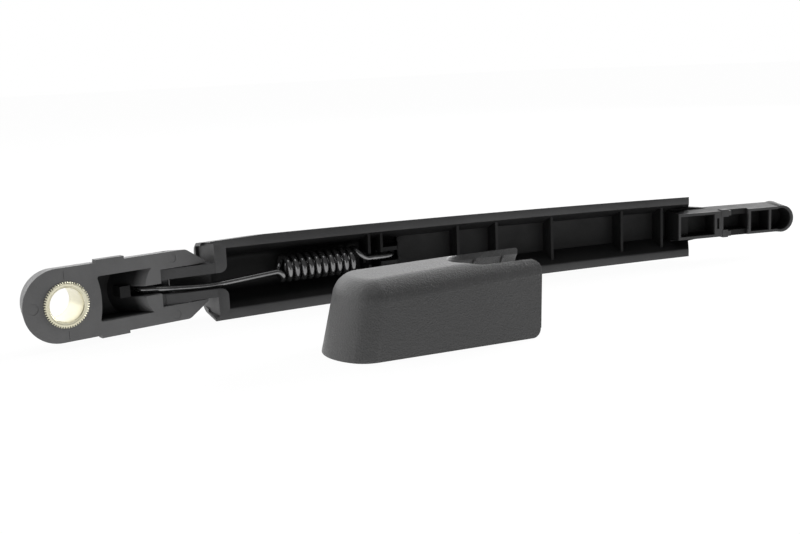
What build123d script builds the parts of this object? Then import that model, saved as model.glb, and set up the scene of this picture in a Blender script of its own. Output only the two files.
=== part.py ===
from build123d import *
from math import sin, cos, tan, radians, pi, sqrt
import os

os.makedirs("parts", exist_ok=True)

# ---------------------------------------------------------------- driving dimensions (mm, degrees)
# frame: X along the arm, Y along the spindle and away from the glass, Z across the arm

# spindle bush
bush_od = 15.0
bush_bore = 11.0
bush_near = -0.35          # stands a little proud of the head's seat face
bush_far = 12.2
bush_lead = 0.3            # lead-in at both ends of the bore

# mounting head
head_half = 11.95          # half width at the seat face
head_depth = 13.0          # along the spindle
head_end_x = -2.15         # centre of the round end at the seat face
head_far_half = 10.3       # half width at the outer face
head_far_x = 0.0
rail_x = 42.5              # where the rail's slanted end starts
rail_tip_x = 49.8
rail_tip_z = 7.0
fork_x = 32.8              # bottom of the fork
fork_half = 6.35
pocket_x0 = 10.65
pocket_bulge = 1.05        # the boss round the bush bulges into the pocket
pocket_x1 = 29.8
pocket_r = 0.7
pocket_half = 7.5
pocket_floor = 10.6
notch_half = 1.75          # slot that the spring's hook lies in
notch_floor = 5.3
block_x0, block_x1 = 19.6, 23.2      # stop block in front of the hook
mark_depth = 0.12          # ejector marks and weld lines on the seat face
tab_x0, tab_x1 = 10.7, 20.4
tab_out = 12.85            # half width over the cap's snap tabs
tab_depth = 2.6

# lift hinge
hinge_x, hinge_y = 37.4, 8.5
pin_r = 2.0
pin_half = 10.6
lug_play = 0.05            # radial running play of the lugs on the pin

# arm: bowed channel, folded down towards the glass
arm_x0 = 42.0              # rim line starts here on the seat plane
fold = 10.27               # degrees, at the hinge end
bow = 0.00099              # radians per mm along the arm
arm_w0, arm_w1 = 14.37, 0.01078      # half width and its taper
arm_h0, arm_h1 = 14.5, 0.0105        # depth and its taper
draft_out = 8.0
arm_edge_r = 5.5           # rounding of the outer long edges
rim_t0, rim_t1 = 3.4, 0.0030         # rim thickness and its taper
draft_in = 22.0
bay_floor = 12.2
web_floor = 10.2
bay_end = 83.5
arm_end = 205.5            # rim ends here, the outer skin runs on
arm_end_slant = 5.5
lug_in, lug_out = 2.45, 5.95
lug_low = 3.15             # the lower lug leaves more room for the wire at the shoulder
lug_r = 4.3
shoulder0, shoulder1 = 11.2, 14.6
shoulder_skew = 0.027       # the upper shoulder lies nearer to the hinge
hood_s = (9.3, 7.7)         # edge of the hood, lower and upper side
bend_r = 2.6               # where the lugs run into the shoulders
rib_s = (105.8, 122.1, 146.0, 177.0, 195.1)
rib_t = 1.1
rib_near = 3.4
anchor_s = (69.0, 73.9)
anchor_t = 1.0
anchor_near = 3.0

# blade tip
tip_s0 = 201.0
tip_len = 53.0
tip_half = 5.2
tip_depth = 9.0
tip_flare = 6.0
tip_wall = 1.0

# tension spring
wire_r = 1.0
coil_r = 4.1
coil_pitch = 2.71
coil_turns = 10.70
coil_s = 36.0
coil_depth = 6.7

# nut cap, standing on its rim beside the arm
floor_z = -14.27
cap_x, cap_y = 54.43, -82.82
cap_turn = -17.49
cap_len = 57.5
cap_width = 27.0
cap_front = 8.0
cap_nose_r, cap_side_r = 20.0, 8.5   # plan of the front end: one wide arc between two corner arcs
cap_swell = 0.05           # the side walls spread towards the front
cap_edge_r = 7.0           # rounding of the roof's edge
cap_slot = (4.3, 21.7)     # sides of the roof's slot, across the width
cap_corner_r = (2.9, 3.8, 1.0)       # rear corners of the side walls: low, high near, high far
cap_h0 = 22.9             # height at the front
cap_rise = 0.045           # the roof rises towards the rear
cap_lean = 14.0            # front wall leans back
cap_wall = 1.7
cap_draft = 4.0
cap_skew = 0.075           # the far wall is longer: rear end's slope across the width
cap_rib_d = (45.8, 55.7)   # thin ribs inside the far wall
cap_rib_t, cap_rib_h = 0.7, 0.6


# ---------------------------------------------------------------- the arm's bowed centre line
a0 = radians(fold)


def path(s):
    a = a0 + bow * s
    return arm_x0 + (sin(a) - sin(a0)) / bow, (cos(a) - cos(a0)) / bow, a


def station(s):
    x, y, a = path(s)
    return Plane(origin=(x, y, 0), x_dir=(sin(a), cos(a), 0), z_dir=(cos(a), -sin(a), 0))


def at(s, depth, z):
    x, y, a = path(s)
    return (x + sin(a) * depth, y + cos(a) * depth, z)


def side_plane(s):
    # local x along the arm at s, local y outward, local z across
    x, y, a = path(s)
    return Plane(origin=(x, y, 0), x_dir=(cos(a), -sin(a), 0), z_dir=(0, 0, 1))


def rim_plane(s, depth):
    # local x along the arm, local y across (+Z), normal towards the glass
    x, y, z = at(s, depth, 0)
    a = a0 + bow * s
    return Plane(origin=(x, y, z), x_dir=(cos(a), -sin(a), 0), z_dir=(-sin(a), -cos(a), 0))


def half_w(s):
    return arm_w0 - arm_w1 * s


def depth_h(s):
    return arm_h0 - arm_h1 * s


def rim_t(s):
    return rim_t0 - rim_t1 * s


# ---------------------------------------------------------------- mounting head
seat = Plane(origin=(0, 0, 0), x_dir=(1, 0, 0), z_dir=(0, 1, 0))     # local y is -Z


def head_outline(y, half, cx, tip_z):
    x1 = rail_x - 0.02 * y
    with BuildSketch(seat.offset(y)) as sk:
        with BuildLine():
            RadiusArc((cx, -half), (cx, half), half)
            Polyline((cx, half), (x1, half), (rail_tip_x, tip_z), (rail_tip_x, -tip_z), (x1, -half), (cx, -half))
        make_face()
        fillet(sk.vertices().filter_by(lambda v: x1 - 0.1 < v.X < x1 + 0.1), 3.0)
        fillet(sk.vertices().filter_by(lambda v: v.X > rail_tip_x - 0.1), 1.0)
    return sk


near_outline = head_outline(0, head_half, head_end_x, rail_tip_z)
far_outline = head_outline(head_depth, head_far_half, head_far_x, rail_tip_z - 0.3)


def ramp_outline(y, side_x, mid_x):
    # plan of the ramps at depth y: their top edge bows towards the bush
    with BuildSketch(seat.offset(y)) as sk:
        with BuildLine():
            ThreePointArc((side_x, -pocket_half - 0.1), (mid_x, 0), (side_x, pocket_half + 0.1))
            Polyline((side_x, pocket_half + 0.1), (pocket_x1 + 0.4, pocket_half + 0.1), (pocket_x1 + 0.4, -pocket_half - 0.1), (side_x, -pocket_half - 0.1))
        make_face()
    return sk


ramp_near = ramp_outline(0, 29.6, 26.9)
ramp_far = ramp_outline(pocket_floor + 0.3, 21.5, 17.9)

with BuildPart() as head:
    loft(sections=[near_outline.sketch, far_outline.sketch], ruled=True)
    # snap tabs for the cap, one on each side
    with BuildSketch(seat) as tabs:
        with Locations(((tab_x0 + tab_x1) / 2, 0)):
            Rectangle(tab_x1 - tab_x0, 2 * tab_out)
    extrude(amount=tab_depth)
    # rounded outer edge at the round end
    far_edges = head.edges().filter_by(lambda e: e.center().Y > head_depth - 0.1 and e.center().X < 30)
    fillet(far_edges, 2.0)
    # fork
    with BuildSketch(seat.offset(-5)):
        with Locations((fork_x + 15, 0)):
            Rectangle(30, 2 * fork_half)
    extrude(amount=head_depth + 10, mode=Mode.SUBTRACT)
    # outer side of the rails falls away behind the hinge
    with BuildSketch(Plane.XY.offset(-20)):
        Polygon((hinge_x - 1, head_depth + 6), (hinge_x, head_depth), (rail_tip_x + 4, head_depth - 5.9), (rail_tip_x + 4, head_depth + 6), align=None)
    extrude(amount=40, mode=Mode.SUBTRACT)
    # pocket behind the bush
    with BuildSketch(seat.offset(-1)) as pocket:
        with BuildLine():
            ThreePointArc((pocket_x0, -pocket_half), (pocket_x0 + pocket_bulge, 0), (pocket_x0, pocket_half))
            Polyline((pocket_x0, pocket_half), (pocket_x1, pocket_half), (pocket_x1, -pocket_half), (pocket_x0, -pocket_half))
        make_face()
        fillet(pocket.vertices().filter_by(lambda v: v.X < pocket_x0 + 0.1), pocket_r)
    extrude(amount=pocket_floor + 1, mode=Mode.SUBTRACT)
    # ramps up to the cross piece, one on each side of the hook slot
    loft(sections=[ramp_near.sketch, ramp_far.sketch], ruled=True)
    # hook slot through the ramps and over the cross piece
    with BuildSketch(seat.offset(-1)):
        with Locations(((block_x1 + fork_x) / 2 + 1, 0)):
            Rectangle(fork_x - block_x1 + 2, 2 * notch_half)
    extrude(amount=notch_floor + 1, mode=Mode.SUBTRACT)
    with BuildSketch(seat.offset(notch_floor - 0.5)):
        with Locations(((block_x1 + 28.7) / 2, 0)):
            Rectangle(28.7 - block_x1, 2 * notch_half)
    extrude(amount=pocket_floor - notch_floor, mode=Mode.SUBTRACT)
    # small stop block at the end of the slot
    with BuildSketch(seat.offset(3.6)):
        with Locations(((block_x0 + block_x1) / 2, -0.25)):
            Rectangle(block_x1 - block_x0, 2 * notch_half + 0.3)
    extrude(amount=pocket_floor - 3.6 + 0.2)
    # tongue behind the pin, closes the fork towards the outside
    with BuildSketch(seat.offset(11.2)):
        with Locations(((32.0 + 38.2) / 2, 0)):
            Rectangle(38.2 - 32.0, 2 * 2.1)
    extrude(amount=1.3)
    # ejector marks and weld lines on the seat face
    with BuildSketch(seat.offset(-0.2)):
        for mx, mz, mr in ((-10.75, 0.27, 1.8), (37.4, 9.65, 1.5), (37.4, -9.6, 1.7)):
            with Locations((mx, -mz)):
                Circle(mr)
        for mz in (9.6, -9.8):
            with Locations((-0.1, -mz)):
                Rectangle(0.22, 2.7)
    extrude(amount=mark_depth + 0.2, mode=Mode.SUBTRACT)
    # bush seat and pin holes
    with BuildSketch(seat.offset(-2)):
        Circle(bush_od / 2)
    extrude(amount=head_depth + 4, mode=Mode.SUBTRACT)
    with BuildSketch(Plane.XY.offset(-20)):
        with Locations((hinge_x, hinge_y)):
            Circle(pin_r)
    extrude(amount=40, mode=Mode.SUBTRACT)

head.part.label = "mounting_head"
export_step(head.part, "parts/mounting_head.step")

# ---------------------------------------------------------------- spindle bush
with BuildPart() as bush:
    with BuildSketch(seat.offset(bush_near)):
        Circle(bush_od / 2)
        Circle(bush_bore / 2, mode=Mode.SUBTRACT)
    extrude(amount=bush_far - bush_near)
    bore_edges = bush.edges().filter_by(GeomType.CIRCLE).filter_by(lambda e: e.radius < bush_bore / 2 + 0.1)
    chamfer(bore_edges, bush_lead)

bush.part.label = "spindle_bush"
export_step(bush.part, "parts/spindle_bush.step")

# ---------------------------------------------------------------- hinge pin
with BuildPart() as pin:
    with BuildSketch(Plane.XY.offset(-pin_half)):
        with Locations((hinge_x, hinge_y)):
            Circle(pin_r)
    extrude(amount=2 * pin_half)

pin.part.label = "hinge_pin"
export_step(pin.part, "parts/hinge_pin.step")

# ---------------------------------------------------------------- arm: hollow of the channel
stations = (2.0, 50.0, 100.0, 150.0, 200.0, 222.0)
cavity_sections = []
for s in (shoulder1, 50.0, 100.0, 150.0, 200.0, 226.0):
    wi = half_w(s) - rim_t(s)
    k = tan(radians(draft_in))
    with BuildSketch(station(s)) as sk:
        Polygon((-3, -(wi + 3 * k)), (-3, wi + 3 * k), (bay_floor, wi - bay_floor * k), (bay_floor, -(wi - bay_floor * k)), align=None)
    cavity_sections.append(sk.sketch)

with BuildPart() as cavity:
    loft(sections=cavity_sections)
    floor_edges = cavity.edges().filter_by(lambda e: e.length > 150)
    floor_edges = floor_edges.sort_by(lambda e: abs(e.center().Z))[0:2]
    fillet(floor_edges, 2.4)
    # raised floor beyond the spring
    for s0, s1 in ((bay_end, 150.0), (149.5, 230.0)):
        sm = (s0 + s1) / 2
        with BuildSketch(station(s0)) as f0:
            with Locations((web_floor + 5, 0)):
                Rectangle(10, 30)
        with BuildSketch(station(sm)) as f1:
            with Locations((web_floor + 5, 0)):
                Rectangle(10, 30)
        with BuildSketch(station(s1)) as f2:
            with Locations((web_floor + 5, 0)):
                Rectangle(10, 30)
        loft(sections=[f0.sketch, f1.sketch, f2.sketch], mode=Mode.SUBTRACT)
    # cross ribs
    for s in rib_s:
        with BuildSketch(station(s - rib_t / 2)):
            with Locations((rib_near + 10, 0)):
                Rectangle(20, 30)
        extrude(amount=rib_t, mode=Mode.SUBTRACT)
    # spring anchor: two slotted plates
    for s in anchor_s:
        with BuildSketch(station(s)):
            with Locations((anchor_near + 10, 0)):
                Rectangle(20, 30)
            with Locations((anchor_near + 1.5, 0)):
                Rectangle(7.5, 4.4, mode=Mode.SUBTRACT)
        extrude(amount=anchor_t, mode=Mode.SUBTRACT)
    # two ledges from the second plate to the raised floor, one on each side of the wire's leg
    for z0, z1 in ((2.4, 3.8), (-2.7, -1.4)):
        with BuildSketch(side_plane(anchor_s[1]).offset(z0)):
            Polygon((0.2, 3.4), (6.7, 3.4), (bay_end - anchor_s[1] + 0.6, web_floor), (bay_end - anchor_s[1] + 0.6, 14), (0.2, 14), align=None)
        extrude(amount=z1 - z0, mode=Mode.SUBTRACT)

# ---------------------------------------------------------------- arm: moulding
outer_sections = []
for s in stations:
    w = half_w(s)
    h = depth_h(s)
    k = tan(radians(draft_out))
    with BuildSketch(station(s)) as sk:
        Polygon((0, -w), (0, w), (h, w - h * k), (h, -(w - h * k)), align=None)
    outer_sections.append(sk.sketch)

tip_mid = tip_s0 + tip_len / 2
tx, ty, tz = at(tip_s0, 0, 0)
ta = a0 + bow * tip_mid
tip_axes = dict(x_dir=(cos(ta), -sin(ta), 0))


def tip_plane(depth):
    # local x along the tip, local y is -Z, normal outward
    return Plane(origin=(tx + sin(ta) * depth, ty + cos(ta) * depth, 0), x_dir=(cos(ta), -sin(ta), 0), z_dir=(sin(ta), cos(ta), 0))


hu = side_plane(0).to_local_coords(Vector(hinge_x, hinge_y, 0))
# back of the lugs: round about the pin, then square to the head's fork down to the rim
lug_back = (hu.X - lug_r * cos(a0), hu.Y - lug_r * sin(a0))
lug_foot = (lug_back[0] + (lug_back[1] - 0.15) * tan(a0), 0.15)

with BuildPart() as arm:
    loft(sections=outer_sections)
    long_edges = arm.edges().filter_by(lambda e: e.length > 150).sort_by(lambda e: abs(e.center().Z))[0:2]
    fillet(long_edges, arm_edge_r)
    add(cavity.part, mode=Mode.SUBTRACT)
    # slanted end, the outer skin runs on to the tip
    with BuildSketch(side_plane(arm_end).offset(-20)):
        Polygon((0, 0), (-2.5, -3), (30, -3), (30, 25), (arm_end_slant + 9, 25), (arm_end_slant, 10.0), align=None)
    extrude(amount=40, mode=Mode.SUBTRACT)
    # room under the hood at the hinge end, on both sides of the lugs
    with BuildSketch(rim_plane(0, -4)):
        Polygon((-30, -12.9), (shoulder0 + 12.9 * shoulder_skew, -12.9), (shoulder0 - 12.9 * shoulder_skew, 12.9), (-30, 12.9), align=None)
    extrude(amount=-(12.4 + 4), taper=draft_out, mode=Mode.SUBTRACT)
    # the hood's side walls thin out towards their edge
    with BuildSketch(rim_plane(0, -4)):
        Polygon((-30, -14.3), (hood_s[0] - 0.3, -14.3), (shoulder0 + 12.9 * shoulder_skew, -12.9), (shoulder0 - 12.9 * shoulder_skew, 12.9), (hood_s[1] + 0.9, 14.1), (-30, 14.1), align=None)
    extrude(amount=-(7.6 + 4), taper=draft_out, mode=Mode.SUBTRACT)
    # edge of the hood
    with BuildSketch(rim_plane(0, -10)):
        Polygon((-31, -25), (hood_s[0] + 0.1, -25), (hood_s[0], -9), (hood_s[1], 4), (hood_s[1], 10), (hood_s[1] + 0.6, 12.5), (hood_s[1] + 2.0, 13.8), (hood_s[1] + 2.6, 25), (-31, 25), align=None)
    extrude(amount=-40, mode=Mode.SUBTRACT)
    # upper side draws in a little towards the hinge
    with BuildSketch(rim_plane(0, -4)):
        Polygon((0, 13.77), (40, 14.89), (40, 22), (0, 22), align=None)
    extrude(amount=-(16 + 4), taper=-draft_out, mode=Mode.SUBTRACT)
    # lugs
    for z0 in (lug_in, -lug_out):
        with BuildSketch(side_plane(0).offset(z0)) as lug:
            with BuildLine():
                Polyline(lug_back, lug_foot, (shoulder0 + 1.0, 0.0), (shoulder0 + 1.0, hu.Y + lug_r), (hu.X, hu.Y + lug_r))
                ThreePointArc((hu.X, hu.Y + lug_r), (hu.X - lug_r * cos(radians(40)), hu.Y + lug_r * sin(radians(40))), lug_back)
            make_face()
        extrude(amount=lug_out - lug_in)
    # the lower lug is thicker along the head's rail, with a shallow pad on its near face
    with BuildSketch(side_plane(0).offset(-lug_out - 0.2)):
        Polygon((lug_foot[0] + 4.4 * tan(a0), 4.5), lug_foot, (1.3, 0.05), (1.3, 4.5), align=None)
    extrude(amount=0.5)
    with BuildSketch(rim_plane(0, 0.4)):
        with Locations(((lug_foot[0] + 1.7 + 1.3) / 2, -(2.75 + lug_out + 0.2) / 2)):
            Rectangle(1.3 - lug_foot[0] - 1.7, lug_out + 0.2 - 2.75)
    extrude(amount=0.5)
    # roof over the fork, between the head's rails
    with BuildSketch(side_plane(0).offset(-lug_out)):
        with Locations(((hu.X + 3.5 + 11.5) / 2, (hu.Y + lug_r - 0.3 + 14.0) / 2)):
            Rectangle(11.5 - hu.X - 3.5, 14.0 - hu.Y - lug_r + 0.3)
    extrude(amount=2 * lug_out)
    # way through for the spring between the lugs, which run into the shoulders with a round
    with BuildSketch(rim_plane(0, -4)):
        with BuildLine():
            Polyline((shoulder1 - bend_r, -lug_low), (0, -lug_low + 0.25), (-8, -lug_in), (-30, -lug_in), (-30, lug_in), (shoulder1 - bend_r, lug_in))
            ThreePointArc((shoulder1 - bend_r, lug_in), (shoulder1 - bend_r * (1 - sin(pi / 4)), lug_in + bend_r * (1 - cos(pi / 4))), (shoulder1, lug_in + bend_r))
            Polyline((shoulder1, lug_in + bend_r), (shoulder1 + 0.6, lug_in + bend_r), (shoulder1 + 0.6, -lug_low - bend_r), (shoulder1, -lug_low - bend_r))
            ThreePointArc((shoulder1, -lug_low - bend_r), (shoulder1 - bend_r * (1 - sin(pi / 4)), -lug_low - bend_r * (1 - cos(pi / 4))), (shoulder1 - bend_r, -lug_low))
        make_face()
    extrude(amount=-(11.9 + 4), mode=Mode.SUBTRACT)
    # hinge bores
    with BuildSketch(Plane.XY.offset(-12)):
        with Locations((hinge_x, hinge_y)):
            Circle(pin_r + lug_play)
    extrude(amount=24, mode=Mode.SUBTRACT)
    # blade tip: tapered bar with a round end
    with BuildSketch(tip_plane(0)):
        with BuildLine():
            Polyline((tip_len - tip_half - 2.2, tip_half), (0, tip_half + 0.1), (0, -tip_half - 0.1), (tip_len - tip_half - 2.2, -tip_half))
            ThreePointArc((tip_len - tip_half - 2.2, -tip_half), (tip_len, 0), (tip_len - tip_half - 2.2, tip_half))
        make_face()
    extrude(amount=tip_depth, taper=-tip_flare)
    # neck from the arm's skin to the tip
    with BuildSketch(tip_plane(tip_depth - 2.0)):
        Polygon((0, -8.0), (0, 8.0), (20, 5.6), (20, -5.6), align=None)
    extrude(amount=3.4)
    # tip cells
    with BuildSketch(tip_plane(-1)):
        with Locations(((0.9 + 16.3) / 2, 0)):
            Rectangle(16.3 - 0.9, 2 * (tip_half - tip_wall))
    extrude(amount=1 + 7.6, mode=Mode.SUBTRACT)
    with BuildSketch(tip_plane(4.5)):
        with Locations((0.9 + 2.8, 0)):
            Rectangle(5.6, 2 * tip_half)
    extrude(amount=4)
    with BuildSketch(tip_plane(-1)):
        with Locations((17.9, -0.2)):
            Rectangle(1.0, 4.4)
    extrude(amount=1 + 5, mode=Mode.SUBTRACT)
    with BuildSketch(tip_plane(-1)):
        with Locations(((20.2 + 32.0) / 2, 0)):
            Rectangle(11.8, 2 * 3.2)
    extrude(amount=1 + 7.6, mode=Mode.SUBTRACT)
    with BuildSketch(tip_plane(-1)):
        with Locations(((23.8 + 31.8) / 2, 0)):
            Rectangle(8.0, 14)
    extrude(amount=1 + 2.0, mode=Mode.SUBTRACT)
    with BuildSketch(tip_plane(-1)):
        with Locations(((33.0 + 41.6) / 2, 0)):
            Rectangle(8.6, 2 * (tip_half - tip_wall))
    extrude(amount=1 + 7.6, mode=Mode.SUBTRACT)
    with BuildSketch(tip_plane(-1)):
        with BuildLine():
            hw = tip_half - tip_wall
            Polyline((tip_len - tip_half - 2.4, hw), (42.5, hw), (42.5, -hw), (tip_len - tip_half - 2.4, -hw))
            ThreePointArc((tip_len - tip_half - 2.4, -hw), (tip_len - tip_wall - 0.2, 0), (tip_len - tip_half - 2.4, hw))
        make_face()
    extrude(amount=1 + 7.6, mode=Mode.SUBTRACT)
    # clip lugs on the tip's sides
    for l0, l1, z0, z1 in ((19.3, 22.6, 2.8, 5.75), (19.9, 22.3, -5.65, -2.6)):
        with BuildSketch(tip_plane(-0.15)):
            with Locations(((l0 + l1) / 2, -(z0 + z1) / 2)):
                Rectangle(l1 - l0, z1 - z0)
        extrude(amount=3.15)

arm.part.label = "arm"
export_step(arm.part, "parts/arm.step")

# ---------------------------------------------------------------- tension spring: one wire
cx, cy, ca = path(coil_s + 13.5)
axis = Vector(cos(ca), -sin(ca), 0)
outw = Vector(sin(ca), cos(ca), 0)
c0 = Vector(*at(coil_s, coil_depth, 0))
upz = Vector(0, 0, 1)
ph0 = pi + 0.66            # where the shank runs into the coil
coil_len = coil_pitch * coil_turns
ph1 = ph0 + 2 * pi * coil_turns


def radial(ph):
    return outw * cos(ph) + upz * sin(ph)


def along(ph):
    # direction of the wire in the coil
    return (upz * cos(ph) - outw * sin(ph)) * (2 * pi * coil_r) + axis * coil_pitch


shank_pts = [Vector(*p) for p in ((27.0, 9.2, 0.0), (26.95, 7.0, 0.0), (27.4, 4.9, -0.05), (28.8, 3.55, -0.15), (30.8, 3.1, -0.3), (35.0, 2.75, -0.75), (42.0, 2.05, -1.4), (50.5, 0.85, -1.9))]
shank_pts += [Vector(*at(s, dpt, z)) for s, dpt, z in ((16.0, 2.6, -1.6), (24.0, 2.7, -1.0), (33.2, 2.75, -0.25))]
coil_start = c0 + radial(ph0) * coil_r
coil_end = c0 + radial(ph1) * coil_r + axis * coil_len
leg_start = Vector(*at(69.6, 4.6, 0.3))
leg_pts = [leg_start, Vector(*at(72.5, 4.75, 0.25)), Vector(*at(76.8, 5.0, 0.2)), Vector(*at(79.0, 5.9, 0.25)), Vector(*at(79.65, 7.6, 0.3)), Vector(*at(79.7, 9.4, 0.3))]
shank_dir = (shank_pts[-1] - shank_pts[-2]).normalized()

over_dir = (shank_pts[6] - shank_pts[4]).normalized()      # over the cross piece
with BuildLine() as hook_path:
    Spline(*shank_pts[:6], tangents=(Vector(0, -1, 0), over_dir))
with BuildLine() as shank_path:
    Spline(*shank_pts[5:], tangents=(over_dir, shank_dir))
with BuildLine() as bend_path:
    Spline(shank_pts[-1], coil_start, tangents=(shank_dir, along(ph0).normalized()))
coil_edge = Plane(origin=c0, x_dir=radial(ph0), z_dir=axis) * Helix(pitch=coil_pitch, height=coil_len, radius=coil_r)
with BuildLine() as turn_path:
    Spline(coil_end, leg_start, tangents=(along(ph1).normalized(), axis))
with BuildLine() as leg_path:
    Spline(*leg_pts, tangents=(axis, outw))

with BuildPart() as spring:
    with BuildSketch(Plane(origin=coil_start, z_dir=along(ph0))):
        Circle(wire_r)
    sweep(path=coil_edge, is_frenet=True)
    with BuildSketch(Plane(origin=shank_pts[0], z_dir=Vector(0, -1, 0))):
        Circle(wire_r)
    sweep(path=hook_path.line)
    with BuildSketch(Plane(origin=shank_pts[5], z_dir=over_dir)):
        Circle(wire_r)
    sweep(path=shank_path.line)
    with BuildSketch(Plane(origin=shank_pts[-1], z_dir=shank_dir)):
        Circle(wire_r)
    sweep(path=bend_path.line)
    with BuildSketch(Plane(origin=coil_end, z_dir=along(ph1))):
        Circle(wire_r)
    sweep(path=turn_path.line)
    with BuildSketch(Plane(origin=leg_start, z_dir=axis)):
        Circle(wire_r)
    sweep(path=leg_path.line)

spring.part.label = "tension_spring"
export_step(spring.part, "parts/tension_spring.step")

# ---------------------------------------------------------------- nut cap
ct = radians(cap_turn)


def cap_plane(h):
    return Plane(origin=(cap_x, cap_y, floor_z + h), x_dir=(cos(ct), sin(ct), 0), z_dir=(0, 0, 1))


def cap_outline(h, inset, front, rear):
    # plan of the cap at height h: round front end, sides that spread a little towards the front
    side = inset + h * tan(radians(cap_draft))
    mid = cap_width / 2
    big, r = cap_nose_r - inset, cap_side_r - inset
    uc = h * tan(radians(cap_lean)) - front + big
    k = sqrt(1 + cap_swell ** 2)
    wide = mid - side + cap_swell * cap_len - 0.4
    b = wide - r * k
    m = uc + cap_swell * b
    # centre of the corner arcs: they touch the side walls and the front arc
    u1 = (m - sqrt(m ** 2 - k ** 2 * (uc ** 2 + b ** 2 - (big - r) ** 2))) / k ** 2
    w1 = b - cap_swell * u1
    tu, tw = uc + big * (u1 - uc) / (big - r), big * w1 / (big - r)
    nu, nw = u1 + r * cap_swell / k, w1 + r / k
    du, dw = (tu - u1) / r + (nu - u1) / r, (tw - w1) / r + (nw - w1) / r
    du, dw = du / sqrt(du ** 2 + dw ** 2), dw / sqrt(du ** 2 + dw ** 2)
    wr = wide - cap_swell * rear
    with BuildSketch(cap_plane(h)) as sk:
        with BuildLine():
            Polyline((nu, mid - nw), (rear, mid - wr), (rear, mid + wr), (nu, mid + nw))
            ThreePointArc((nu, mid + nw), (u1 + r * du, mid + w1 + r * dw), (tu, mid + tw))
            ThreePointArc((tu, mid + tw), (uc - big, mid), (tu, mid - tw))
            ThreePointArc((tu, mid - tw), (u1 + r * du, mid - w1 - r * dw), (nu, mid - nw))
        make_face()
    return sk


def cap_side():
    # side view of the cap
    return Plane(origin=(cap_x, cap_y, floor_z), x_dir=(cos(ct), sin(ct), 0), z_dir=(sin(ct), -cos(ct), 0))


def roof_edges(part_edges, drop):
    def on_roof(e):
        q = cap_plane(0).to_local_coords(e.center())
        return abs(q.Z - (cap_h0 - drop + cap_rise * q.X)) < 0.35 and q.X < cap_len + 9
    return part_edges.filter_by(on_roof)


with BuildPart() as cap_hollow:
    h0 = cap_outline(-1.0, cap_wall, cap_front - cap_wall, cap_len + 20)
    h1 = cap_outline(30.0, cap_wall, cap_front - cap_wall, cap_len + 20)
    loft(sections=[h0.sketch, h1.sketch], ruled=True)
    with BuildSketch(cap_side().offset(-40)):
        Polygon((-30, cap_h0 - cap_wall - 30 * cap_rise), (90, cap_h0 - cap_wall + 90 * cap_rise), (90, 60), (-30, 60), align=None)
    extrude(amount=80, mode=Mode.SUBTRACT)
    fillet(roof_edges(cap_hollow.edges(), cap_wall), cap_edge_r - cap_wall)

with BuildPart() as cap_rib_hollow:
    r0 = cap_outline(-2.0, cap_wall + cap_rib_h, cap_front - cap_wall - cap_rib_h, cap_len + 21)
    r1 = cap_outline(30.0, cap_wall + cap_rib_h, cap_front - cap_wall - cap_rib_h, cap_len + 21)
    loft(sections=[r0.sketch, r1.sketch], ruled=True)
    with BuildSketch(cap_side().offset(-40)):
        Polygon((-30, cap_h0 - cap_wall - cap_rib_h - 30 * cap_rise), (90, cap_h0 - cap_wall - cap_rib_h + 90 * cap_rise), (90, 60), (-30, 60), align=None)
    extrude(amount=80, mode=Mode.SUBTRACT)
    fillet(roof_edges(cap_rib_hollow.edges(), cap_wall + cap_rib_h), cap_edge_r - cap_wall - cap_rib_h)

with BuildPart() as cap_ribs:
    with BuildSketch(cap_plane(1.0)):
        for d in cap_rib_d:
            with Locations((d, cap_width)):
                Rectangle(cap_rib_t, 14)
    extrude(amount=40)
    add(cap_hollow.part, mode=Mode.INTERSECT)
    add(cap_rib_hollow.part, mode=Mode.SUBTRACT)

with BuildPart() as cap:
    o0 = cap_outline(0.0, 0.0, cap_front, cap_len + 10)
    o1 = cap_outline(30.0, 0.0, cap_front, cap_len + 10)
    loft(sections=[o0.sketch, o1.sketch], ruled=True)
    # sloping roof
    with BuildSketch(cap_side().offset(-40)):
        Polygon((-30, cap_h0 - 30 * cap_rise), (90, cap_h0 + 90 * cap_rise), (90, 60), (-30, 60), align=None)
    extrude(amount=80, mode=Mode.SUBTRACT)
    fillet(roof_edges(cap.edges(), 0.0), cap_edge_r)
    add(cap_hollow.part, mode=Mode.SUBTRACT)
    add(cap_ribs.part)
    # open rear end, cut along its slope
    rear_dir = Vector(sin(ct), -cos(ct), 0) - Vector(cos(ct), sin(ct), 0) * cap_skew
    rear0 = cap_len + 40 * cap_skew
    with BuildSketch(cap_side().offset(-40)):
        Polygon((rear0, -2), (rear0 + 40, -2), (rear0 + 40, 60), (rear0 + 0.072 * 60, 60), (rear0, 0), align=None)
    extrude(amount=80, dir=rear_dir, mode=Mode.SUBTRACT)
    # rounded rear corners of the side walls
    near0 = cap_len + 13.5 * cap_skew
    top_near = cap_h0 + cap_rise * cap_len - 1.5
    top_far = cap_h0 + cap_rise * cap_len - 0.9
    for start, d0, corners in ((-40, rear0, ((0.0, 1, cap_corner_r[0]), (top_far, -1, cap_corner_r[2]))), (-13.5, near0, ((top_near, -1, cap_corner_r[1]),))):
        with BuildSketch(cap_side().offset(start)):
            for h, sg, r in corners:
                with Locations((d0 + 0.072 * h - r / 2 + 1.0, h + sg * (r / 2 - 1.0))):
                    Rectangle(r + 2.0, r + 2.0)
            for h, sg, r in corners:
                with Locations((d0 + 0.072 * h - r, h + sg * r)):
                    Circle(r + 0.02, mode=Mode.SUBTRACT)
        extrude(amount=-2 * start if start < -20 else 40, dir=rear_dir, mode=Mode.SUBTRACT)
    # slot in the roof that the raised arm swings into
    with BuildSketch(cap_plane(cap_h0 - 7)):
        with Locations((cap_len + 3, sum(cap_slot) / 2)):
            SlotOverall(2 * 27.5, cap_slot[1] - cap_slot[0])
    extrude(amount=16, mode=Mode.SUBTRACT)

cap.part.label = "nut_cap"
export_step(cap.part, "parts/nut_cap.step")
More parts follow.
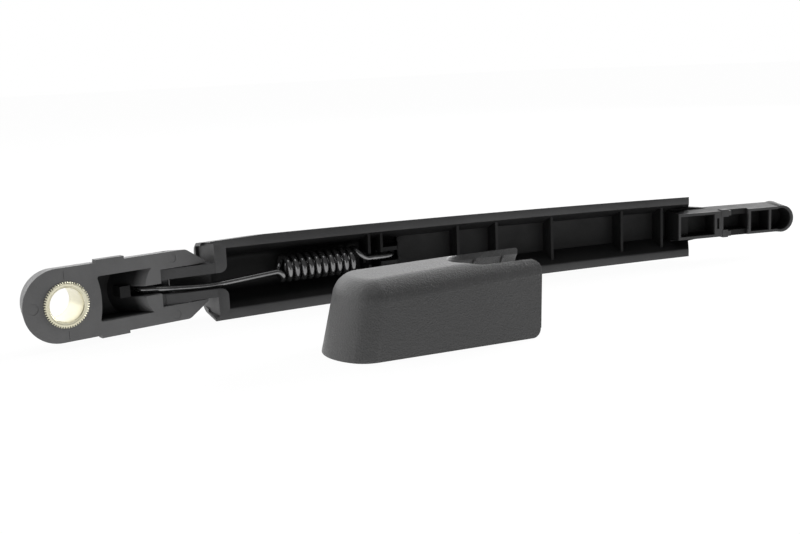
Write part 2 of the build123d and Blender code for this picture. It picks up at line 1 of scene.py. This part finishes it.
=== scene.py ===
import math

import bmesh
import bpy
import numpy as np
from mathutils import Matrix, Vector


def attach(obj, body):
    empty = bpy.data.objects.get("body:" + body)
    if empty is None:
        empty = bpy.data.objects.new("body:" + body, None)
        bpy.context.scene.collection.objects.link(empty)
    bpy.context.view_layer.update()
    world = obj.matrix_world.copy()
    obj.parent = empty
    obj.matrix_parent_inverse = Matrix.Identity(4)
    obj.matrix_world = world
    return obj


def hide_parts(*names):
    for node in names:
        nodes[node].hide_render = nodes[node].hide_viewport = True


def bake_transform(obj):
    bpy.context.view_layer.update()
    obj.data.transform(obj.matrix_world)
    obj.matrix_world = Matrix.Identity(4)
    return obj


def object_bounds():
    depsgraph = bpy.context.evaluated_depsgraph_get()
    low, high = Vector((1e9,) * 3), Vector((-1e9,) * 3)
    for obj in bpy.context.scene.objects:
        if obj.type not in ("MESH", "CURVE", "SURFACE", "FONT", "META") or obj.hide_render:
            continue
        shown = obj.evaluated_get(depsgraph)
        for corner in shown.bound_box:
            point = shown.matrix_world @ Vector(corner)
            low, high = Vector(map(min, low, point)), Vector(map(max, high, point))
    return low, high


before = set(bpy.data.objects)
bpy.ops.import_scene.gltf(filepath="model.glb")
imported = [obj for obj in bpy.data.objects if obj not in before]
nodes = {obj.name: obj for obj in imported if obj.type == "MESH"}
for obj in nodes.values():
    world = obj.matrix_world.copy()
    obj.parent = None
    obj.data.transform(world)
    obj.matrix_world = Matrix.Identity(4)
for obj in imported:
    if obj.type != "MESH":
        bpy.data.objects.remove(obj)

scene = bpy.context.scene
cad_lo, cad_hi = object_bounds()
MM = 0.001

# ------------------------------------------------------------------ camera
RIGHT = Vector((0.781272, -0.622706, -0.043041))
DOWN = Vector((-0.145868, -0.115097, -0.982586))
AHEAD = Vector((0.606908, 0.773945, -0.180755))
cam_data = bpy.data.cameras.new("camera")
cam_data.sensor_fit = "HORIZONTAL"
cam_data.sensor_width = 36.0
cam_data.lens = 49.5
cam_data.clip_start = 0.01
cam_data.clip_end = 50.0
cam = bpy.data.objects.new("camera", cam_data)
scene.collection.objects.link(cam)
turn = Matrix((RIGHT, -DOWN, -AHEAD)).transposed().to_4x4()
turn.translation = Vector((-126.331, -331.659, 69.784)) * MM
cam.matrix_world = turn
scene.camera = cam

scene.view_settings.view_transform = "Standard"
scene.view_settings.look = "None"


# ------------------------------------------------------------------ small helpers for materials
def new_material(name):
    m = bpy.data.materials.new(name)
    m.use_nodes = True
    t = m.node_tree
    t.nodes.clear()
    out = t.nodes.new("ShaderNodeOutputMaterial")
    bsdf = t.nodes.new("ShaderNodeBsdfPrincipled")
    t.links.new(bsdf.outputs["BSDF"], out.inputs["Surface"])
    coord = t.nodes.new("ShaderNodeTexCoord")
    return m, t, bsdf, coord.outputs["Object"]


def noise(t, vec, scale, detail=4.0, rough=0.55, distortion=0.0):
    n = t.nodes.new("ShaderNodeTexNoise")
    n.inputs["Scale"].default_value = scale
    n.inputs["Detail"].default_value = detail
    n.inputs["Roughness"].default_value = rough
    n.inputs["Distortion"].default_value = distortion
    t.links.new(vec, n.inputs["Vector"])
    return n.outputs["Fac"]


def voronoi(t, vec, scale, feature="F1", randomness=1.0):
    n = t.nodes.new("ShaderNodeTexVoronoi")
    n.feature = feature
    n.inputs["Scale"].default_value = scale
    n.inputs["Randomness"].default_value = randomness
    t.links.new(vec, n.inputs["Vector"])
    return n.outputs["Distance"]


def remap(t, value, a, b, c, d):
    n = t.nodes.new("ShaderNodeMapRange")
    n.inputs["From Min"].default_value = a
    n.inputs["From Max"].default_value = b
    n.inputs["To Min"].default_value = c
    n.inputs["To Max"].default_value = d
    t.links.new(value, n.inputs["Value"])
    return n.outputs["Result"]


def ramp(t, value, stops):
    n = t.nodes.new("ShaderNodeValToRGB")
    while len(n.color_ramp.elements) < len(stops):
        n.color_ramp.elements.new(0.5)
    for e, (p, c) in zip(n.color_ramp.elements, stops):
        e.position = p
        e.color = (*c, 1.0)
    t.links.new(value, n.inputs["Fac"])
    return n.outputs["Color"]


def math_node(t, op, a, b):
    n = t.nodes.new("ShaderNodeMath")
    n.operation = op
    for i, v in enumerate((a, b)):
        if isinstance(v, (int, float)):
            n.inputs[i].default_value = v
        else:
            t.links.new(v, n.inputs[i])
    return n.outputs["Value"]


def bump(t, height, strength, distance, normal=None):
    n = t.nodes.new("ShaderNodeBump")
    n.inputs["Strength"].default_value = strength
    n.inputs["Distance"].default_value = distance
    t.links.new(height, n.inputs["Height"])
    if normal is not None:
        t.links.new(normal, n.inputs["Normal"])
    return n.outputs["Normal"]


def step_down(t, value, lo, hi):
    """1 below lo, 0 above hi."""
    return remap(t, value, lo, hi, 1.0, 0.0)


def channel_painted_shade_mask(t, obj):
    """1 on the inside of the arm's channel and tip cells, where the colour is darkened as painted shade; 0 on the rims
    and the outer skin.
    """
    sep = t.nodes.new("ShaderNodeSeparateXYZ")
    t.links.new(obj, sep.inputs["Vector"])
    x, y, z = (sep.outputs[k] for k in "XYZ")
    dx, dy = math_node(t, "ADD", x, 0.13810), math_node(t, "ADD", y, 0.99391)
    r = math_node(t, "SQRT", math_node(t, "ADD", math_node(t, "MULTIPLY", dx, dx), math_node(t, "MULTIPLY", dy, dy)), 0.0)
    depth = math_node(t, "SUBTRACT", r, 1.01010)
    below_rim = math_node(t, "SUBTRACT", 1.0, step_down(t, depth, 0.00025, 0.0009))
    side = math_node(t, "ADD", math_node(t, "ABSOLUTE", z, 0.0), math_node(t, "ADD", math_node(t, "MULTIPLY", depth, 0.27), math_node(t, "MULTIPLY", x, 0.0097)))
    between = step_down(t, side, 0.0128, 0.0132)
    above_skin = step_down(t, math_node(t, "ADD", depth, math_node(t, "MULTIPLY", x, 0.0109)), 0.0136, 0.0139)
    past_shoulder = math_node(t, "SUBTRACT", 1.0, step_down(t, math_node(t, "SUBTRACT", x, math_node(t, "MULTIPLY", depth, 0.18)), 0.0538, 0.0546))
    inside = math_node(t, "MULTIPLY", math_node(t, "MULTIPLY", below_rim, between), math_node(t, "MULTIPLY", above_skin, past_shoulder))
    return math_node(t, "MULTIPLY", inside, remap(t, x, 0.118, 0.132, 1.0, 0.93))


def pocket_painted_shade_mask(t, obj):
    """1 deep in the head's pocket, where the colour is darkened as painted shade; 0 on its faces."""
    sep = t.nodes.new("ShaderNodeSeparateXYZ")
    t.links.new(obj, sep.inputs["Vector"])
    x, y, z = (sep.outputs[k] for k in "XYZ")
    deep = math_node(t, "SUBTRACT", 1.0, step_down(t, y, 0.0010, 0.0036))
    above = step_down(t, y, 0.0108, 0.0111)
    wide = step_down(t, math_node(t, "ABSOLUTE", z, 0.0), 0.0077, 0.0079)
    left = math_node(t, "SUBTRACT", 1.0, step_down(t, x, 0.0100, 0.0103))
    right = step_down(t, x, 0.0255, 0.0330)
    return math_node(t, "MULTIPLY", math_node(t, "MULTIPLY", deep, above), math_node(t, "MULTIPLY", wide, math_node(t, "MULTIPLY", left, right)))


def moulded_plastic(name, dark, light, rough_lo, rough_hi, grain, grain_depth, spec=0.5, mask=None, inside=None):
    """Black moulded plastic: cloudy flow of tone, fine spark-eroded grain, rubbed patches. Where the mask is 1, darker
    inside colours and a lower specular level are painted shade.
    """
    m, t, bsdf, obj = new_material(name)
    cloud = noise(t, obj, 55.0, 5.0, 0.6, 0.4)
    speck = noise(t, obj, 2600.0, 2.0, 0.6)
    tone = math_node(t, "ADD", math_node(t, "MULTIPLY", cloud, 0.72), math_node(t, "MULTIPLY", speck, 0.28))
    colour = ramp(t, tone, ((0.32, dark), (0.68, light)))
    # painted shade: the mask swaps in the much darker inside colours in recesses
    if mask:
        where = mask(t, obj)
        mix = t.nodes.new("ShaderNodeMix")
        mix.data_type = "RGBA"
        t.links.new(where, mix.inputs["Factor"])
        t.links.new(colour, mix.inputs["A"])
        t.links.new(ramp(t, tone, ((0.32, inside[0]), (0.68, inside[1]))), mix.inputs["B"])
        colour = mix.outputs["Result"]
    t.links.new(colour, bsdf.inputs["Base Color"])
    rub = noise(t, obj, 130.0, 4.0, 0.6, 0.8)
    t.links.new(remap(t, rub, 0.3, 0.7, rough_lo, rough_hi), bsdf.inputs["Roughness"])
    fine = noise(t, obj, grain, 3.0, 0.62)
    wave = noise(t, obj, 90.0, 2.0, 0.5)
    n1 = bump(t, wave, 0.10, 0.0004)
    n2 = bump(t, fine, 0.35, grain_depth, n1)
    t.links.new(n2, bsdf.inputs["Normal"])
    # the specular level is lowered in the same painted-shade recesses
    if mask:
        t.links.new(remap(t, where, 0.0, 1.0, spec, 0.6 * spec), bsdf.inputs["Specular IOR Level"])
    else:
        bsdf.inputs["Specular IOR Level"].default_value = spec
    return m


def grained_plastic(name):
    """Black plastic with a fine leather-like grain."""
    m, t, bsdf, obj = new_material(name)
    warp = noise(t, obj, 700.0, 3.0, 0.55)
    cells = voronoi(t, obj, 2000.0, "F1")
    small = noise(t, obj, 5200.0, 2.0, 0.6)
    pits = math_node(t, "ADD", math_node(t, "MULTIPLY", cells, 0.8), math_node(t, "MULTIPLY", small, 0.35))
    cloud = noise(t, obj, 38.0, 4.0, 0.55, 0.3)
    tone = math_node(t, "ADD", math_node(t, "MULTIPLY", cloud, 0.4), math_node(t, "MULTIPLY", pits, 0.5))
    t.links.new(ramp(t, tone, ((0.25, (0.046, 0.046, 0.0465)), (0.75, (0.071, 0.071, 0.0715)))), bsdf.inputs["Base Color"])
    t.links.new(remap(t, pits, 0.2, 0.9, 0.38, 0.54), bsdf.inputs["Roughness"])
    n1 = bump(t, warp, 0.35, 0.00022)
    n2 = bump(t, pits, 0.62, 0.00020, n1)
    t.links.new(n2, bsdf.inputs["Normal"])
    return m


def bush_metal(name):
    """Pale yellow turned metal: fine turning marks, faint tarnish."""
    m, t, bsdf, obj = new_material(name)
    sep = t.nodes.new("ShaderNodeSeparateXYZ")
    t.links.new(obj, sep.inputs["Vector"])
    rr = math_node(t, "SQRT", math_node(t, "ADD", math_node(t, "POWER", sep.outputs["X"], 2.0), math_node(t, "POWER", sep.outputs["Z"], 2.0)), 0.0)
    comb = t.nodes.new("ShaderNodeCombineXYZ")
    t.links.new(rr, comb.inputs["X"])
    t.links.new(sep.outputs["Y"], comb.inputs["Y"])
    rings = noise(t, comb.outputs["Vector"], 4200.0, 3.0, 0.6)
    stain = noise(t, obj, 260.0, 4.0, 0.6, 0.5)
    tone = math_node(t, "ADD", math_node(t, "MULTIPLY", stain, 0.7), math_node(t, "MULTIPLY", rings, 0.3))
    t.links.new(ramp(t, tone, ((0.25, (0.56, 0.53, 0.38)), (0.5, (0.65, 0.62, 0.47)), (0.8, (0.73, 0.71, 0.58)))), bsdf.inputs["Base Color"])
    t.links.new(remap(t, stain, 0.3, 0.7, 0.26, 0.42), bsdf.inputs["Roughness"])
    t.links.new(bump(t, rings, 0.18, 0.00003), bsdf.inputs["Normal"])
    bsdf.inputs["Metallic"].default_value = 0.85
    return m


def wire_black(name):
    """Black coated spring wire: glossy, with faint drawn streaks and small dull specks."""
    m, t, bsdf, obj = new_material(name)
    streak = noise(t, obj, 700.0, 2.0, 0.5)
    blot = noise(t, obj, 240.0, 4.0, 0.6, 0.6)
    t.links.new(ramp(t, blot, ((0.3, (0.14, 0.14, 0.143)), (0.75, (0.23, 0.23, 0.23)))), bsdf.inputs["Base Color"])
    t.links.new(remap(t, blot, 0.3, 0.75, 0.13, 0.22), bsdf.inputs["Roughness"])
    t.links.new(bump(t, streak, 0.05, 0.00002), bsdf.inputs["Normal"])
    bsdf.inputs["Metallic"].default_value = 0.9
    return m


def pin_steel(name):
    """Dark oxidised steel pin."""
    m, t, bsdf, obj = new_material(name)
    blot = noise(t, obj, 500.0, 4.0, 0.6)
    t.links.new(ramp(t, blot, ((0.3, (0.05, 0.05, 0.052)), (0.7, (0.13, 0.13, 0.135)))), bsdf.inputs["Base Color"])
    t.links.new(remap(t, blot, 0.3, 0.7, 0.3, 0.5), bsdf.inputs["Roughness"])
    t.links.new(bump(t, noise(t, obj, 2200.0, 2.0, 0.5), 0.15, 0.00003), bsdf.inputs["Normal"])
    bsdf.inputs["Metallic"].default_value = 0.8
    return m


# the head's pocket takes much darker colours: painted shade in the recess
head_mat = moulded_plastic("head_plastic", (0.079, 0.079, 0.080), (0.109, 0.109, 0.110), 0.42, 0.58, 3200.0, 0.00006, 0.3,
                           mask=pocket_painted_shade_mask, inside=((0.010, 0.010, 0.0103), (0.014, 0.014, 0.0144)))
# the arm's channel and tip cells take much darker colours: painted shade in the recesses
arm_mat = moulded_plastic("arm_plastic", (0.041, 0.041, 0.042), (0.059, 0.059, 0.060), 0.40, 0.56, 3200.0, 0.00006, 0.3,
                          mask=channel_painted_shade_mask, inside=((0.0055, 0.0055, 0.0057), (0.0095, 0.0095, 0.0098)))
cap_mat = grained_plastic("cap_plastic")
bush_mat = bush_metal("bush_metal")
wire_mat = wire_black("spring_wire")
pin_mat = pin_steel("pin_steel")


def paint(obj, material):
    obj.data.materials.clear()
    obj.data.materials.append(material)


# ------------------------------------------------------------------ moulded pieces: broken edges
def soften(obj, width, segments=2, angle=32.0):
    w = obj.modifiers.new("weld", "WELD")
    w.merge_threshold = 0.000002
    b = obj.modifiers.new("edges", "BEVEL")
    b.width = width
    b.segments = segments
    b.limit_method = "ANGLE"
    b.angle_limit = math.radians(angle)
    b.use_clamp_overlap = True
    b.harden_normals = False
    b.miter_outer = "MITER_ARC"


paint(nodes["mounting_head"], head_mat)
paint(nodes["arm"], arm_mat)
paint(nodes["nut_cap"], cap_mat)
paint(nodes["hinge_pin"], pin_mat)
soften(nodes["mounting_head"], 0.00014)
soften(nodes["arm"], 0.00014)
soften(nodes["nut_cap"], 0.00014)


# ------------------------------------------------------------------ mesh helpers
def mesh_object(name, verts, faces, material, smooth=True):
    me = bpy.data.meshes.new(name)
    me.from_pydata([tuple(v) for v in verts], [], faces)
    me.update()
    bm = bmesh.new()
    bm.from_mesh(me)
    bmesh.ops.recalc_face_normals(bm, faces=bm.faces)
    bm.to_mesh(me)
    bm.free()
    if smooth:
        me.polygons.foreach_set("use_smooth", [True] * len(me.polygons))
    ob = bpy.data.objects.new(name, me)
    scene.collection.objects.link(ob)
    me.materials.append(material)
    return ob


# ------------------------------------------------------------------ spindle bush with its knurl
TEETH = 56
PER = 8
BUSH_R, ROOT_R, BORE_R = 7.5, 6.9, 5.5
BUSH_Y0, BUSH_Y1 = -0.35, 12.2


def tooth(i, crest, root):
    """Radius of the knurl at angular step i."""
    k = (i % PER) / PER
    f = 0.5 + 0.5 * math.cos(2 * math.pi * k)
    return root + (crest - root) * min(1.0, max(0.0, 1.7 * f - 0.35))


# section of the bush: radius (or crest and root of the knurl), then Y
profile = [
    ("knurl", 7.44, 6.84, BUSH_Y0), ("knurl", BUSH_R, 6.86, BUSH_Y0 + 0.08), ("knurl", BUSH_R, ROOT_R, BUSH_Y0 + 0.24), ("knurl", BUSH_R, ROOT_R, 4.0), ("knurl", BUSH_R, ROOT_R, 8.0),
    ("knurl", BUSH_R, ROOT_R, BUSH_Y1 - 0.3), ("knurl", 7.3, 6.84, BUSH_Y1), ("plain", 5.8, BUSH_Y1),
    ("plain", BORE_R + 0.02, BUSH_Y1 - 0.28), ("plain", BORE_R, BUSH_Y1 - 0.34), ("plain", BORE_R, 8.0), ("plain", BORE_R, 4.0),
    ("plain", BORE_R, BUSH_Y0 + 0.34), ("plain", BORE_R + 0.02, BUSH_Y0 + 0.28), ("plain", BORE_R + 0.26, BUSH_Y0 + 0.03), ("plain", BORE_R + 0.30, BUSH_Y0),
    ("plain", 5.98, BUSH_Y0), ("plain", 6.04, BUSH_Y0 + 0.03), ("plain", 6.10, BUSH_Y0 + 0.03), ("plain", 6.16, BUSH_Y0), ("plain", 6.6, BUSH_Y0),
]
steps = TEETH * PER
bush_v, bush_f = [], []
for i in range(steps):
    a = 2 * math.pi * i / steps
    for p in profile:
        r = tooth(i, p[1], p[2]) if p[0] == "knurl" else p[1]
        bush_v.append((r * math.cos(a) * MM, p[-1] * MM, r * math.sin(a) * MM))
npf = len(profile)
for i in range(steps):
    j = (i + 1) % steps
    for k in range(npf):
        l = (k + 1) % npf
        bush_f.append((i * npf + k, j * npf + k, j * npf + l, i * npf + l))
bush = mesh_object("spindle_bush_knurled", bush_v, bush_f, bush_mat)
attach(bush, "head")
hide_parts("spindle_bush")

# the head's plastic, moulded in between the knurl's teeth at both faces
fill_section = (("in", 0.015), ("out", 0.015), ("out", 1.2), ("in", 1.2))
fill_v, fill_f = [], []
for y_side in (0, 1):
    base = len(fill_v)
    for i in range(steps):
        a = 2 * math.pi * i / steps
        for where, depth in fill_section:
            r = min(tooth(i, BUSH_R, ROOT_R) - 0.01, BUSH_R - 0.04) if where == "in" else BUSH_R
            y = depth if y_side == 0 else BUSH_Y1 - 0.1 - depth
            fill_v.append((r * math.cos(a) * MM, y * MM, r * math.sin(a) * MM))
    for i in range(steps):
        j = (i + 1) % steps
        for k in range(4):
            l = (k + 1) % 4
            fill_f.append((base + i * 4 + k, base + j * 4 + k, base + j * 4 + l, base + i * 4 + l))
fill = mesh_object("mounting_head_knurl_fill", fill_v, fill_f, head_mat, smooth=False)
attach(fill, "head")

# ------------------------------------------------------------------ tension spring, one wire
A0 = math.radians(10.27)
BOW = 0.00099
ARM_X0 = 42.0


def arm_point(s, depth, z):
    a = A0 + BOW * s
    x = ARM_X0 + (math.sin(a) - math.sin(A0)) / BOW
    y = (math.cos(a) - math.cos(A0)) / BOW
    return np.array((x + math.sin(a) * depth, y + math.cos(a) * depth, z))


def unit(v):
    v = np.array(v, float)
    return v / np.linalg.norm(v)


def clamped_spline(points, t0, t1, step):
    """Smooth curve through the points with given end directions, sampled every step or so."""
    p = np.array(points, float)
    u = np.concatenate(([0.0], np.cumsum(np.linalg.norm(np.diff(p, axis=0), axis=1))))
    n = len(p)
    h = np.diff(u)
    a = np.zeros((n, n))
    b = np.zeros((n, 3))
    a[0, 0] = a[-1, -1] = 1.0
    b[0], b[-1] = unit(t0), unit(t1)
    for i in range(1, n - 1):
        a[i, i - 1], a[i, i], a[i, i + 1] = h[i], 2 * (h[i - 1] + h[i]), h[i - 1]
        b[i] = 3 * (h[i - 1] * (p[i + 1] - p[i]) / h[i] + h[i] * (p[i] - p[i - 1]) / h[i - 1])
    d = np.linalg.solve(a, b)
    out = []
    for i in range(n - 1):
        m = max(3, int(math.ceil(h[i] / step)))
        for k in range(m):
            x = k / m
            h00, h10 = 2 * x ** 3 - 3 * x ** 2 + 1, x ** 3 - 2 * x ** 2 + x
            h01, h11 = -2 * x ** 3 + 3 * x ** 2, x ** 3 - x ** 2
            out.append(h00 * p[i] + h10 * h[i] * d[i] + h01 * p[i + 1] + h11 * h[i] * d[i + 1])
    out.append(p[-1])
    return np.array(out)


WIRE_R, COIL_R, PITCH, TURNS = 1.0, 4.1, 2.71, 10.70
COIL_S, COIL_DEPTH = 36.0, 6.7
ca = A0 + BOW * (COIL_S + 13.5)
axis = np.array((math.cos(ca), -math.sin(ca), 0.0))
outw = np.array((math.sin(ca), math.cos(ca), 0.0))
upz = np.array((0.0, 0.0, 1.0))
c0 = arm_point(COIL_S, COIL_DEPTH, 0.0)
ph0 = math.pi + 0.66
ph1 = ph0 + 2 * math.pi * TURNS


def radial(ph):
    return outw * math.cos(ph) + upz * math.sin(ph)


def along(ph):
    return unit((upz * math.cos(ph) - outw * math.sin(ph)) * (2 * math.pi * COIL_R) + axis * PITCH)


shank = [(27.0, 9.2, 0.0), (26.95, 7.0, 0.0), (27.4, 4.9, -0.05), (28.8, 3.55, -0.15), (30.8, 3.1, -0.3), (35.0, 2.75, -0.75), (42.0, 2.05, -1.4), (50.5, 0.85, -1.9)]
shank = [np.array(p) for p in shank] + [arm_point(16.0, 2.6, -1.6), arm_point(24.0, 2.7, -1.0), arm_point(33.2, 2.75, -0.25)]
coil_start = c0 + radial(ph0) * COIL_R
coil_end = c0 + radial(ph1) * COIL_R + axis * PITCH * TURNS
leg = [arm_point(69.6, 4.6, 0.3), arm_point(72.5, 4.75, 0.25), arm_point(76.8, 5.0, 0.2), arm_point(79.0, 5.9, 0.25), arm_point(79.65, 7.6, 0.3), arm_point(79.7, 9.4, 0.3)]
shank_dir = unit(shank[-1] - shank[-2])
coil = [c0 + radial(ph0 + 2 * math.pi * TURNS * k / 640) * COIL_R + axis * PITCH * TURNS * k / 640 for k in range(641)]
wire = np.concatenate((
    clamped_spline(shank, (0, -1, 0), shank_dir, 0.5)[:-1],
    clamped_spline([shank[-1], coil_start], shank_dir, along(ph0), 0.3)[:-1],
    np.array(coil)[:-1],
    clamped_spline([coil_end, leg[0]], along(ph1), axis, 0.3)[:-1],
    clamped_spline(leg, axis, outw, 0.35),
))


def tube(name, line, radius, sides, material):
    """Round wire along a line, with slightly rounded cut ends."""
    line = np.array(line)
    tang = np.gradient(line, axis=0)
    tang /= np.linalg.norm(tang, axis=1)[:, None]
    ref = np.cross(tang[0], (0.0, 0.0, 1.0))
    ref /= np.linalg.norm(ref)
    rings = []
    frames = []
    for i in range(len(line)):
        if i:
            ref = ref - tang[i] * (ref @ tang[i])
            ref /= np.linalg.norm(ref)
        frames.append((ref.copy(), np.cross(tang[i], ref)))
    ends = ((0.0, 0.72), (0.10, 0.92), (0.28, 1.0))
    seq = [(line[0] + tang[0] * d * radius, frames[0], r) for d, r in ends]
    seq += [(line[i], frames[i], 1.0) for i in range(2, len(line) - 2)]
    seq += [(line[-1] - tang[-1] * d * radius, frames[-1], r) for d, r in reversed(ends)]
    verts = []
    for c, (u, w), r in seq:
        for k in range(sides):
            a = 2 * math.pi * k / sides
            verts.append((c + (u * math.cos(a) + w * math.sin(a)) * radius * r) * MM)
    faces = []
    for i in range(len(seq) - 1):
        for k in range(sides):
            l = (k + 1) % sides
            faces.append((i * sides + k, i * sides + l, (i + 1) * sides + l, (i + 1) * sides + k))
    faces.append(tuple(range(sides)))
    last = (len(seq) - 1) * sides
    faces.append(tuple(last + k for k in range(sides)))
    return mesh_object(name, verts, faces, material)


spring = tube("tension_spring_wire", wire, WIRE_R, 20, wire_mat)
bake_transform(spring)
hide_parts("tension_spring")

# ------------------------------------------------------------------ floor and light
FLOOR_Z = cad_lo.z - 0.00002
bm = bmesh.new()
bmesh.ops.create_grid(bm, x_segments=2, y_segments=2, size=6.0)
floor_me = bpy.data.meshes.new("floor")
bm.to_mesh(floor_me)
bm.free()
floor = bpy.data.objects.new("floor", floor_me)
floor.location = (0.1, 0.0, FLOOR_Z)
scene.collection.objects.link(floor)
fm = bpy.data.materials.new("floor_white")
fm.use_nodes = True
ft = fm.node_tree
ft.nodes.clear()
fout = ft.nodes.new("ShaderNodeOutputMaterial")
fmix = ft.nodes.new("ShaderNodeMixShader")
flp = ft.nodes.new("ShaderNodeLightPath")


def floor_shader(albedo, front, back):
    """White floor; its glow goes from front to back across the set."""
    d = ft.nodes.new("ShaderNodeBsdfPrincipled")
    d.inputs["Base Color"].default_value = (albedo, albedo, albedo, 1.0)
    d.inputs["Roughness"].default_value = 0.9
    d.inputs["Specular IOR Level"].default_value = 0.0
    d.inputs["Emission Color"].default_value = (1.0, 1.0, 1.0, 1.0)
    if front == back:
        d.inputs["Emission Strength"].default_value = front
        return d
    c = ft.nodes.new("ShaderNodeTexCoord")
    s = ft.nodes.new("ShaderNodeSeparateXYZ")
    ft.links.new(c.outputs["Object"], s.inputs["Vector"])
    g = ft.nodes.new("ShaderNodeMapRange")
    g.interpolation_type = "SMOOTHSTEP"
    g.inputs["From Min"].default_value = -0.16
    g.inputs["From Max"].default_value = 0.04
    g.inputs["To Min"].default_value = front
    g.inputs["To Max"].default_value = back
    ft.links.new(s.outputs["Y"], g.inputs["Value"])
    ft.links.new(g.outputs["Result"], d.inputs["Emission Strength"])
    return d


FLOOR_SEEN = (0.05, 0.95, 0.95)
FLOOR_LIGHT = (0.08, 1.00, 1.22)
ft.links.new(flp.outputs["Is Camera Ray"], fmix.inputs["Fac"])
ft.links.new(floor_shader(*FLOOR_LIGHT).outputs["BSDF"], fmix.inputs[1])
ft.links.new(floor_shader(*FLOOR_SEEN).outputs["BSDF"], fmix.inputs[2])
ft.links.new(fmix.outputs["Shader"], fout.inputs["Surface"])
floor.data.materials.append(fm)

world = bpy.data.worlds.new("studio")
scene.world = world
world.use_nodes = True
wt = world.node_tree
wt.nodes.clear()
wout = wt.nodes.new("ShaderNodeOutputWorld")
wbg = wt.nodes.new("ShaderNodeBackground")
wcam = wt.nodes.new("ShaderNodeBackground")
wmix = wt.nodes.new("ShaderNodeMixShader")
wlp = wt.nodes.new("ShaderNodeLightPath")
wtc = wt.nodes.new("ShaderNodeTexCoord")
wsep = wt.nodes.new("ShaderNodeSeparateXYZ")
wt.links.new(wtc.outputs["Generated"], wsep.inputs["Vector"])
wup = wt.nodes.new("ShaderNodeMapRange")
wup.inputs["From Min"].default_value = -1.0
wup.inputs["From Max"].default_value = 1.0
wt.links.new(wsep.outputs["Y"], wup.inputs["Value"])
wramp = wt.nodes.new("ShaderNodeValToRGB")
WORLD = ((0.0, 0.10), (0.30, 0.10), (0.54, 0.06), (0.76, 1.0), (1.0, 1.1))
while len(wramp.color_ramp.elements) < len(WORLD):
    wramp.color_ramp.elements.new(0.5)
for e, (p, v) in zip(wramp.color_ramp.elements, WORLD):
    e.position = p
    e.color = (v, v, v, 1.0)
wt.links.new(wup.outputs["Result"], wramp.inputs["Fac"])
wt.links.new(wramp.outputs["Color"], wbg.inputs["Color"])
wbg.inputs["Strength"].default_value = 1.85
wcam.inputs["Strength"].default_value = 1.0
wt.links.new(wlp.outputs["Is Camera Ray"], wmix.inputs["Fac"])
wt.links.new(wbg.outputs["Background"], wmix.inputs[1])
wt.links.new(wcam.outputs["Background"], wmix.inputs[2])
wcam.inputs["Color"].default_value = (1.0, 1.0, 1.0, 1.0)
wt.links.new(wmix.outputs["Shader"], wout.inputs["Surface"])


def softbox(name, location, target, size, power):
    data = bpy.data.lights.new(name, "AREA")
    data.shape = "RECTANGLE"
    data.size, data.size_y = size
    data.energy = power
    ob = bpy.data.objects.new(name, data)
    ob.location = location
    ob.rotation_mode = "QUATERNION"
    ob.rotation_quaternion = (Vector(target) - Vector(location)).to_track_quat("-Z", "Y")
    scene.collection.objects.link(ob)
    return ob


softbox("top_softbox", (0.15, -0.25, 0.90), (0.12, -0.03, 0.0), (1.3, 0.5), 2.5)
softbox("right_softbox", (1.25, -0.05, 0.35), (0.15, -0.03, 0.0), (0.6, 0.5), 34.0)
